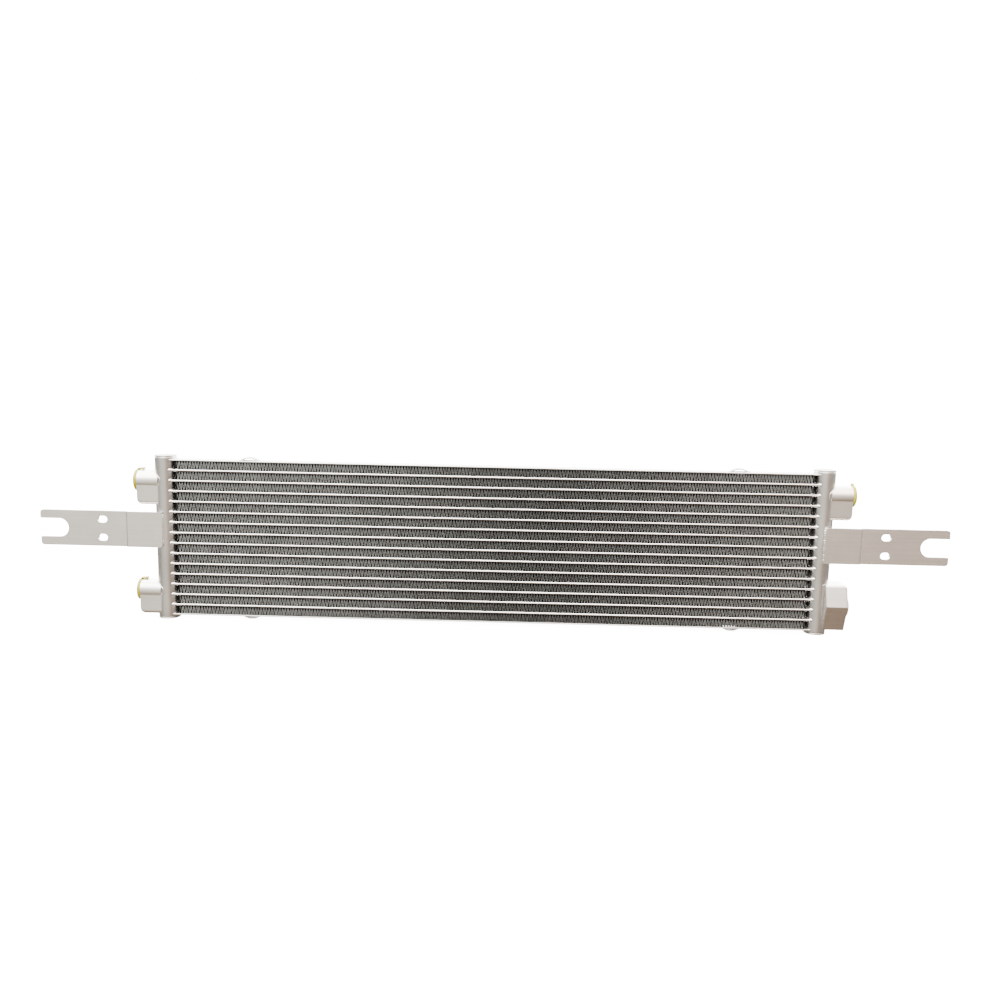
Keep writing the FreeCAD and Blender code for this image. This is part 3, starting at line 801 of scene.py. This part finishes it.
def build_header_cap(level, up, side, sign, material):
    """End cap with a chamfered rim and a shallow pressed dish."""
    node = f"header_cap_{level}_{side}"
    low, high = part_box(node)
    top = high[2] if up > 0 else -low[2]
    under = top - LID_FLANGE
    radius = HEADER_RADIUS
    plug = radius - LID_PLUG_INSET
    profile = [
        (top - LID_DISH, 0.0),
        (top - LID_DISH, 0.55 * radius),
        (top - LID_DISH + 0.1 * MM, 0.62 * radius),
        (top, 0.7 * radius),
        (top, radius - LID_CHAMFER),
        (top - 0.3 * LID_CHAMFER, radius - 0.3 * LID_CHAMFER),
        (top - LID_CHAMFER, radius),
        (under + 0.5 * LID_CHAMFER, radius),
        (under, radius - 0.5 * LID_CHAMFER),
        (under, plug),
        (under - LID_PLUG, plug),
        (under - LID_PLUG, 0.0),
    ]
    shape = lathe(profile, (sign * HEADER_X, 0, 0), (0, 0, up), segments=72)
    make_piece(f"pressed_{node}", shape, material, replaces=[node])


# ---------------------------------------------------------------- ports


def barrel_outline(drop):
    """Barrel over a tongue, as (y, z) points about the port's axis."""
    meet = math.degrees(math.acos(TONGUE_HALF_WIDTH / BARREL_RADIUS))
    points = arc((0, 0), BARREL_RADIUS, -meet, 180 + meet, 44)
    floor = TONGUE_ROUND - drop
    centre = TONGUE_HALF_WIDTH - TONGUE_ROUND
    points += arc((-centre, floor), TONGUE_ROUND, 180, 270, 8)
    points += arc((centre, floor), TONGUE_ROUND, 270, 360, 8)
    return points


def facet_outline(half_height):
    """Six-sided outline whose ridge lies a little above the port, as (y, z) points."""
    corners = [
        (FACET_RIDGE, FACET_RIDGE_RISE),
        (FACET_CROWN, half_height),
        (-FACET_CROWN, half_height),
        (-FACET_RIDGE, FACET_RIDGE_RISE),
        (-FACET_FOOT, -half_height),
        (FACET_FOOT, -half_height),
    ]
    ridge, crown, foot = 1.2 * MM, 2.4 * MM, 1.5 * MM
    return round_polygon(corners, [ridge, crown, crown, ridge, foot, foot])


def port_cutters(name, sign, face):
    """Shapes that hollow the oil way with its wide mouth, and the threaded hole."""
    port = Vector(MOUNTS[f"port_{name}"]["pos_m"])
    bore = MOUNTS[f"port_{name}"]["dims"]["r_mm"] * MM
    screw = Vector(MOUNTS[f"screw_{name}"]["pos_m"])
    thread = MOUNTS[f"screw_{name}"]["dims"]["r_mm"] * MM
    depth = MOUNTS[f"screw_{name}"]["dims"]["length_mm"] * MM
    axis = Vector((-sign, 0, 0))
    bore_end = 2.4 * MOUTH_DEPTH
    mouth_profile = [
        (-CUT_CLEAR, 0.0),
        (-CUT_CLEAR, MOUTH_RADIUS + MOUTH_CONE + CUT_CLEAR),
        (MOUTH_CONE, MOUTH_RADIUS),
        (MOUTH_DEPTH - 0.6 * MM, MOUTH_RADIUS),
        (MOUTH_DEPTH, bore + 0.4 * MM),
        (MOUTH_DEPTH + 0.4 * MM, bore),
        (bore_end, bore),
        (bore_end, 0.0),
    ]
    root = thread - THREAD_DEPTH
    screw_profile = [(-CUT_CLEAR, 0.0), (-CUT_CLEAR, thread + 2 * CUT_CLEAR), (MOUTH_CONE, thread)]
    for turn in range(int((depth - 1.5 * THREAD_PITCH) / THREAD_PITCH)):
        start = MOUTH_CONE + THREAD_PITCH * (turn + 0.25)
        screw_profile.append((start, thread))
        screw_profile.append((start + THREAD_PITCH / 2, root))
    screw_profile.append((depth - THREAD_PITCH / 2, root))
    screw_profile.append((depth, 0.0))
    return [
        lathe(mouth_profile, (face, port.y, port.z), axis, segments=56),
        lathe(screw_profile, (face, screw.y, screw.z), axis, segments=36),
    ]


def build_block(level, side, sign, outline, round_top, material):
    """Extrude a block's outline outward, round its end's upper or lower edge and open its ports."""
    name = f"{level}_{side}"
    node = f"port_block_{name}"
    low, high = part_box(node)
    axis_z = MOUNTS[f"port_{name}"]["pos_m"][2]
    near = low[0] if sign > 0 else high[0]
    face = high[0] if sign > 0 else low[0]
    length = abs(face - near)
    radius = FACET_ROUND if round_top else TONGUE_ROUND
    edge = 1 if round_top else -1
    limit = max(edge * z for _, z in outline)
    pivot = 0.55 * limit
    stations = [0.0, length * 0.33, length * 0.66]
    for step in range(9):
        turn = math.radians(90) * step / 8
        stations.append(length - radius + radius * math.sin(turn))
    rings = []
    for station in stations:
        into = max(station - (length - radius), 0.0)
        lost = radius - math.sqrt(max(radius ** 2 - into ** 2, 0.0))
        ring = []
        for y, z in outline:
            height = edge * z
            if height > pivot:
                height -= lost * (height - pivot) / (limit - pivot)
            ring.append(Vector((near + sign * station, y, axis_z + edge * height)))
        rings.append(ring)
    piece = make_piece(f"machined_{node}", skin(rings), material, replaces=[node])
    bevel(piece, BLOCK_BEVEL, angle=50)
    carve(piece, port_cutters(name, sign, face))
    even_out(piece, SMOOTH_ANGLE)


def build_braze(level, side, sign, outline, material):
    """Braze line where a port block meets the round of its header."""
    name = f"{level}_{side}"
    axis_z = MOUNTS[f"port_{name}"]["pos_m"][2]
    points = []
    widest = HEADER_RADIUS - 0.3 * MM
    for y, z in outline:
        y = min(max(y, -widest), widest)
        reach = math.sqrt(HEADER_RADIUS ** 2 - y ** 2)
        points.append(Vector((sign * (HEADER_X + reach), y, axis_z + z)))
    shape = bead(points, 0.45 * MM, 0.1, 1.7 * MM, closed=True, seed=axis_z * 100 + sign)
    make_piece(f"braze_{name}", shape, material)


def build_transit_cap(level, side, sign, material):
    """Push-in cap: hollow plug, domed flange and a pull ear at the top."""
    name = f"{level}_{side}"
    node = f"transit_cap_{name}"
    low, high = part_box(node)
    axis_z = MOUNTS[f"port_{name}"]["pos_m"][2]
    tip = high[0] if sign > 0 else low[0]
    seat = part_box(f"port_block_{name}")
    face = seat[1][0] if sign > 0 else seat[0][0]
    face += sign * CAP_SEAT
    tall = abs(tip - face)
    rim = CAP_RIM
    plug = MOUTH_RADIUS - PLUG_GAP
    profile = [
        (0.35 * tall, 0.0),
        (0.3 * tall, plug - 2.2 * MM),
        (0.0, plug - PLUG_WALL),
        (0.1 * MM - PLUG_LENGTH, plug - 1.2 * MM),
        (-PLUG_LENGTH, plug - 0.9 * MM),
        (0.4 * MM - PLUG_LENGTH, plug - 0.25 * MM),
        (1.1 * MM - PLUG_LENGTH, plug),
        (0.0, plug),
        (0.0, rim - 0.5 * MM),
        (0.15 * MM, rim - 0.15 * MM),
        (0.5 * MM, rim),
        (2.1 * MM, rim),
        (2.7 * MM, rim - 0.3 * MM),
        (3.1 * MM, rim - 1.0 * MM),
        (3.25 * MM, rim - 2.2 * MM),
        (3.1 * MM, rim - 3.4 * MM),
        (3.3 * MM, rim - 4.0 * MM),
        (3.9 * MM, 0.35 * rim),
        (tall, 0.0),
    ]
    shapes = [lathe(profile, (face, 0, axis_z), (sign, 0, 0), segments=72)]
    shapes.append(ear_shape(face, axis_z, sign, high[2]))
    make_piece(
        f"moulded_{node}",
        join(shapes),
        material,
        body=f"cap_{name}",
        replaces=[node],
        angle=50,
    )


def ear_path(axis_z, sign, top):
    """Ear's centre line as (outward, height, half thickness) points."""
    if sign < 0:
        return [
            (EAR_PLACE, axis_z + 9.2 * MM, 0.65 * MM),
            (EAR_PLACE, axis_z + 10.3 * MM, 0.65 * MM),
            (0.7 * MM, axis_z + 11.1 * MM, 0.6 * MM),
            (-0.4 * MM, axis_z + 11.2 * MM, 0.55 * MM),
            (-2.0 * MM, axis_z + 11.1 * MM, 0.6 * MM),
            (-2.6 * MM, axis_z + 11.2 * MM, 0.85 * MM),
            (-5.0 * MM, axis_z + 11.2 * MM, 0.85 * MM),
        ]
    return [
        (EAR_PLACE, axis_z + 9.2 * MM, 0.9 * MM),
        (EAR_PLACE, axis_z + 10.4 * MM, 0.9 * MM),
        (EAR_PLACE, axis_z + 11.2 * MM, 1.0 * MM),
        (EAR_PLACE, top - 0.2 * MM, 0.9 * MM),
    ]


def ear_shape(face, axis_z, sign, top):
    """Pull ear: on the left it lies back along the barrel, on the right it stands up."""
    path = ear_path(axis_z, sign, top)
    rings = []
    for index, (along, z, half_thick) in enumerate(path):
        before = Vector(path[max(index - 1, 0)][:2])
        after = Vector(path[min(index + 1, len(path) - 1)][:2])
        tangent = (after - before).normalized()
        normal = Vector((-tangent.y, tangent.x))
        corners = [
            (-EAR_HALF_WIDTH, -half_thick),
            (EAR_HALF_WIDTH, -half_thick),
            (EAR_HALF_WIDTH, half_thick),
            (-EAR_HALF_WIDTH, half_thick),
        ]
        ring = []
        for y, offset in round_polygon(corners, [EAR_ROUND] * 4, steps=3):
            place = Vector((along, z)) + normal * offset
            ring.append(Vector((face + sign * place.x, y, place.y)))
        rings.append(ring)
    return skin(rings)


# ---------------------------------------------------------------- brackets


def strap_outline(root, end, half_height, fork, slot_half):
    """Strap seen from the front, root to the left: forked end and rounded corners."""
    corner = STRAP_CORNER
    tip = FORK_CORNER
    points = [(root, -half_height)]
    points += arc((end - corner, corner - half_height), corner, 270, 360, 6)
    points += arc((end - tip, -slot_half - tip), tip, 0, 90, 3)
    points += arc((fork + slot_half, 0), slot_half, 270, 90, 28)
    points += arc((end - tip, slot_half + tip), tip, 270, 360, 3)
    points += arc((end - corner, half_height - corner), corner, 0, 90, 6)
    points += arc((root + corner, half_height - corner), corner, 90, 180, 6)
    return points


def flat_solid(outline, holes, thickness):
    """Fill an outline with holes and thicken it evenly; returns a mesh."""
    curve = bpy.data.curves.new("strap", "CURVE")
    curve.dimensions = "2D"
    curve.fill_mode = "BOTH"
    curve.extrude = thickness / 2
    for points in [outline] + holes:
        spline = curve.splines.new("POLY")
        spline.points.add(len(points) - 1)
        for point, (x, y) in zip(spline.points, points):
            point.co = (x, y, 0, 1)
        spline.use_cyclic_u = True
    carrier = bpy.data.objects.new("strap", curve)
    bpy.context.collection.objects.link(carrier)
    graph = bpy.context.evaluated_depsgraph_get()
    mesh = bpy.data.meshes.new_from_object(carrier.evaluated_get(graph))
    bpy.data.objects.remove(carrier)
    return mesh


def slot_outline(centre, radius, length):
    """Outline of a round-ended slot that lies along the strap."""
    straight = length / 2 - radius
    points = arc((centre[0] + straight, centre[1]), radius, 90, -90, 16)
    return points + arc((centre[0] - straight, centre[1]), radius, -90, -270, 16)


def build_bracket(side, sign, material):
    """Mounting strap: flat at the header, joggled back, with two slots and a fork."""
    node = f"bracket_{side}"
    low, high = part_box(node)
    bolts = MOUNTS["bracket_bolts"]
    fork = MOUNTS[f"bracket_{side}_fork"]
    level = fork["pos_m"][2]
    near = min(abs(low[0]), abs(high[0]))
    far = max(abs(low[0]), abs(high[0]))
    slot_half = fork["dims"]["r_mm"] * MM
    fork_root = abs(fork["pos_m"][0]) - slot_half
    outline = strap_outline(near, far, (high[2] - low[2]) / 2, fork_root, slot_half)
    slot_x = bolts["dims"]["spacing_x_mm"] * MM / 2
    slot_z = bolts["dims"]["spacing_y_mm"] * MM / 2
    slot_radius = bolts["dims"]["hole_r_mm"] * MM
    slot_length = bolts["dims"]["slot_length_mm"] * MM
    slots = [slot_outline((slot_x, half * slot_z), slot_radius, slot_length) for half in (-1, 1)]
    step_back = abs(bolts["pos_m"][1] - low[1])
    flat = flat_solid(outline, slots, STRAP_SHEET)
    shape = joggle(flat, sign, level, low[1] + STRAP_SHEET / 2, step_back)
    piece = make_piece(f"forked_{node}", shape, material, replaces=[node], angle=30)
    bevel(piece, STRAP_EDGE, angle=65)
    even_out(piece, 35)


def joggle(mesh, sign, level, depth, step_back):
    """Stand a flat strap up on its side of the cooler and set its outer end back."""
    work = bmesh.new()
    work.from_mesh(mesh)
    for x in (JOGGLE_START, JOGGLE_END):
        geometry = work.verts[:] + work.edges[:] + work.faces[:]
        bmesh.ops.bisect_plane(work, geom=geometry, plane_co=(x, 0, 0), plane_no=(1, 0, 0))
    for vertex in work.verts:
        x, z, y = vertex.co
        share = min(max((x - JOGGLE_START) / (JOGGLE_END - JOGGLE_START), 0.0), 1.0)
        vertex.co = (sign * x, y + depth + step_back * share, level + sign * z)
    work.verts.index_update()
    vertices = [vertex.co.copy() for vertex in work.verts]
    faces = [tuple(vertex.index for vertex in face.verts) for face in work.faces]
    work.free()
    return vertices, faces


def build_welds(side, sign, material):
    """Weld beads that hold a strap: one along its root edge, one behind it."""
    low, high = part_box(f"bracket_{side}")
    root = min(abs(low[0]), abs(high[0]))
    front = low[1]
    bottom = low[2] + WELD_INSET
    top = high[2] - WELD_INSET
    root_line = []
    rear_line = []
    for step in range(WELD_STEPS + 1):
        z = bottom + (top - bottom) * step / WELD_STEPS
        root_line.append(Vector((sign * (root - 0.1 * MM), front + 2.8 * MM, z)))
        rear_line.append(Vector((sign * (root + 7.6 * MM), front + STRAP_SHEET + 1.4 * MM, z)))
    root_bead = bead(root_line, 0.9 * MM, 0.16, 2.3 * MM, seed=sign * 2.0, segments=14)
    rear_bead = bead(rear_line, 2.3 * MM, 0.12, 2.6 * MM, seed=sign * 5.0, segments=14)
    make_piece(f"weld_{side}", join([root_bead, rear_bead]), material, angle=60)


# ---------------------------------------------------------------- build


def build_cooler():
    """Build every visible piece of the cooler."""
    finish = make_materials()
    for node in TUBES:
        build_tube(node, finish["tube"])
    for index, node in enumerate(FINS):
        build_fin(node, index, finish["fin"])
    build_side_plate("side_plate_top", 1, finish["side_plate"])
    build_side_plate("side_plate_bottom", -1, finish["side_plate"])
    for side, sign in SIDES.items():
        build_header(side, sign, finish["header"])
        build_bracket(side, sign, finish["bracket"])
        build_welds(side, sign, finish["weld"])
        for level, up in LEVELS.items():
            build_header_cap(level, up, side, sign, finish["header"])
            build_transit_cap(level, side, sign, finish["transit_cap"])
            wide = (level, side) == ("lower", "right")
            outline = block_outline(level, side, wide)
            build_block(level, side, sign, outline, wide, finish["port_block"])
            build_braze(level, side, sign, outline, finish["weld"])
    for node in ("baffle_left", "baffle_right"):
        paint(frame["nodes"][node], finish["header"])


def block_outline(level, side, wide):
    """Outline of a port block about its port's axis."""
    low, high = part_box(f"port_block_{level}_{side}")
    axis_z = MOUNTS[f"port_{level}_{side}"]["pos_m"][2]
    if wide:
        return facet_outline(high[2] - axis_z)
    return barrel_outline(axis_z - low[2])


def paint(piece, material):
    """Give a carried-over node a finish."""
    if not piece.material_slots:
        piece.data.materials.append(material)
    for material_slot in piece.material_slots:
        material_slot.material = material


# ---------------------------------------------------------------- studio

# Strength of the white backdrop, and of the light box that the metal reflects.
BACKDROP = 14.0
OVERHEAD = 14.0
# How bright the light box is from straight below, 0, to straight overhead, 1.
LIGHT_BY_HEIGHT = [
    (0.09, (0.034, 0.027, 0.020)),
    (0.25, (0.050, 0.043, 0.036)),
    (0.34, (0.088, 0.082, 0.073)),
    (0.42, (0.098, 0.092, 0.083)),
    (0.46, (0.105, 0.102, 0.098)),
    (0.54, (0.14, 0.14, 0.138)),
    (0.62, (0.20, 0.20, 0.20)),
    (0.70, (0.38, 0.38, 0.38)),
    (0.80, (1.0, 1.0, 1.0)),
]
# How much of it comes from the far left, 0, to the far right, 1.
LIGHT_BY_SIDE = [
    (0.04, (0.40, 0.40, 0.40)),
    (0.16, (0.80, 0.80, 0.79)),
    (0.34, (0.97, 0.94, 0.87)),
    (0.52, (0.92, 0.89, 0.84)),
    (0.72, (0.50, 0.375, 0.315)),
    (0.94, (0.40, 0.38, 0.36)),
]

FLOOR_FRONT = -4.0
FLOOR_BEND = 2.0
FLOOR_TOP = 8.0
FLOOR_HALF_WIDTH = 9.0

CAMERA_PLACE = (0.01856, -0.84752, 0.16104)
CAMERA_DOWN = math.radians(7.94)
CAMERA_TURN = math.radians(0.803)
CAMERA_TILT = math.radians(1.234)
CAMERA_SENSOR = 36.0
CAMERA_LENS = 32.4


def make_world():
    """Light box: bright overhead and behind, lit on the front left, warm and dark below."""
    world = bpy.data.worlds.new("studio")
    bpy.context.scene.world = world
    world.use_nodes = True
    tree = world.node_tree
    tree.nodes.clear()
    place = add_node(tree, "ShaderNodeTexCoord").outputs["Generated"]
    split = add_node(tree, "ShaderNodeSeparateXYZ", {0: place})
    height = ramp(tree, half_range(tree, split.outputs["Z"]), LIGHT_BY_HEIGHT)
    sides = ramp(tree, half_range(tree, split.outputs["X"]), LIGHT_BY_SIDE)
    colour = mix_colours(tree, 1.0, height, sides, "MULTIPLY")
    above = maths(tree, "MULTIPLY", split.outputs["Z"], 8.0, clamp=True)
    behind = maths(tree, "MULTIPLY", split.outputs["Y"], 2.0, clamp=True)
    wall = maths(tree, "MULTIPLY", above, behind)
    colour = mix_colours(tree, wall, colour, (1.0, 1.0, 1.0))
    seen = add_node(tree, "ShaderNodeBackground", {"Color": (1, 1, 1, 1), "Strength": BACKDROP})
    felt = add_node(tree, "ShaderNodeBackground", {"Color": colour, "Strength": OVERHEAD})
    rays = add_node(tree, "ShaderNodeLightPath").outputs["Is Camera Ray"]
    shaders = {0: rays, 1: felt.outputs[0], 2: seen.outputs[0]}
    mixed = add_node(tree, "ShaderNodeMixShader", shaders)
    add_node(tree, "ShaderNodeOutputWorld", {"Surface": mixed.outputs[0]})


def half_range(tree, value):
    """Bring a direction's -1 to 1 into 0 to 1 for a colour ramp."""
    return maths(tree, "ADD", maths(tree, "MULTIPLY", value, 0.5), 0.5)


def make_floor():
    """Pale floor that curves up behind the object."""
    level = CAD_BOUNDS[0][2]
    profile = [(FLOOR_FRONT, level), (FLOOR_BEND, level)]
    profile += arc((FLOOR_BEND, level + FLOOR_BEND), FLOOR_BEND, 270, 360, 16)
    profile.append((2 * FLOOR_BEND, FLOOR_TOP))
    vertices = []
    faces = []
    for y, z in profile:
        vertices += [(-FLOOR_HALF_WIDTH, y, z), (FLOOR_HALF_WIDTH, y, z)]
    for index in range(len(profile) - 1):
        first = 2 * index
        faces.append((first, first + 1, first + 3, first + 2))
    mesh = bpy.data.meshes.new("studio_floor")
    mesh.from_pydata(vertices, [], faces)
    mesh.shade_smooth()
    floor = bpy.data.objects.new("studio_floor", mesh)
    bpy.context.collection.objects.link(floor)
    mesh.materials.append(floor_material())
    floor.visible_diffuse = False
    floor.visible_glossy = False


def floor_material():
    """Pale matte board with its own soft glow, so that it reads as a lit sweep."""
    material = bpy.data.materials.new("floor_board")
    material.use_nodes = True
    tree = material.node_tree
    shader = tree.nodes["Principled BSDF"]
    place = add_node(tree, "ShaderNodeTexCoord").outputs["Object"]
    mottle = noise_texture(tree, place, 6.0, detail=4.0)
    tone = ramp(tree, mottle, [(0.3, (0.88, 0.88, 0.88)), (0.7, (0.93, 0.93, 0.93))])
    tree.links.new(tone, shader.inputs["Base Color"])
    shader.inputs["Roughness"].default_value = 0.9
    shader.inputs["Emission Color"].default_value = (1, 1, 1, 1)
    shader.inputs["Emission Strength"].default_value = BACKDROP
    return material


def make_light():
    """Large softbox overhead, aimed at the middle of the core."""
    light = bpy.data.lights.new("top_softbox", "AREA")
    light.shape = "RECTANGLE"
    light.size = 2.6
    light.size_y = 1.4
    light.energy = 12
    lamp = bpy.data.objects.new("top_softbox", light)
    bpy.context.collection.objects.link(lamp)
    lamp.location = (-0.3, -0.5, 1.6)
    lamp.rotation_euler = (-lamp.location).to_track_quat("-Z", "Y").to_euler()


def make_camera():
    """Camera a little above the object, at close range with a moderately wide lens."""
    camera = bpy.data.cameras.new("camera")
    camera.sensor_width = CAMERA_SENSOR
    camera.lens = CAMERA_LENS
    camera.clip_start = 0.01
    holder = bpy.data.objects.new("camera", camera)
    bpy.context.collection.objects.link(holder)
    holder.location = CAMERA_PLACE
    level = math.cos(CAMERA_DOWN)
    across = -math.sin(CAMERA_TURN) * level
    ahead = math.cos(CAMERA_TURN) * level
    aim = Vector((across, ahead, -math.sin(CAMERA_DOWN)))
    pose = aim.to_track_quat("-Z", "Y").to_matrix()
    roll = Matrix.Rotation(CAMERA_TILT, 3, "Z")
    holder.rotation_euler = (pose @ roll).to_euler()
    bpy.context.scene.camera = holder


build_cooler()
make_world()
make_floor()
make_light()
make_camera()
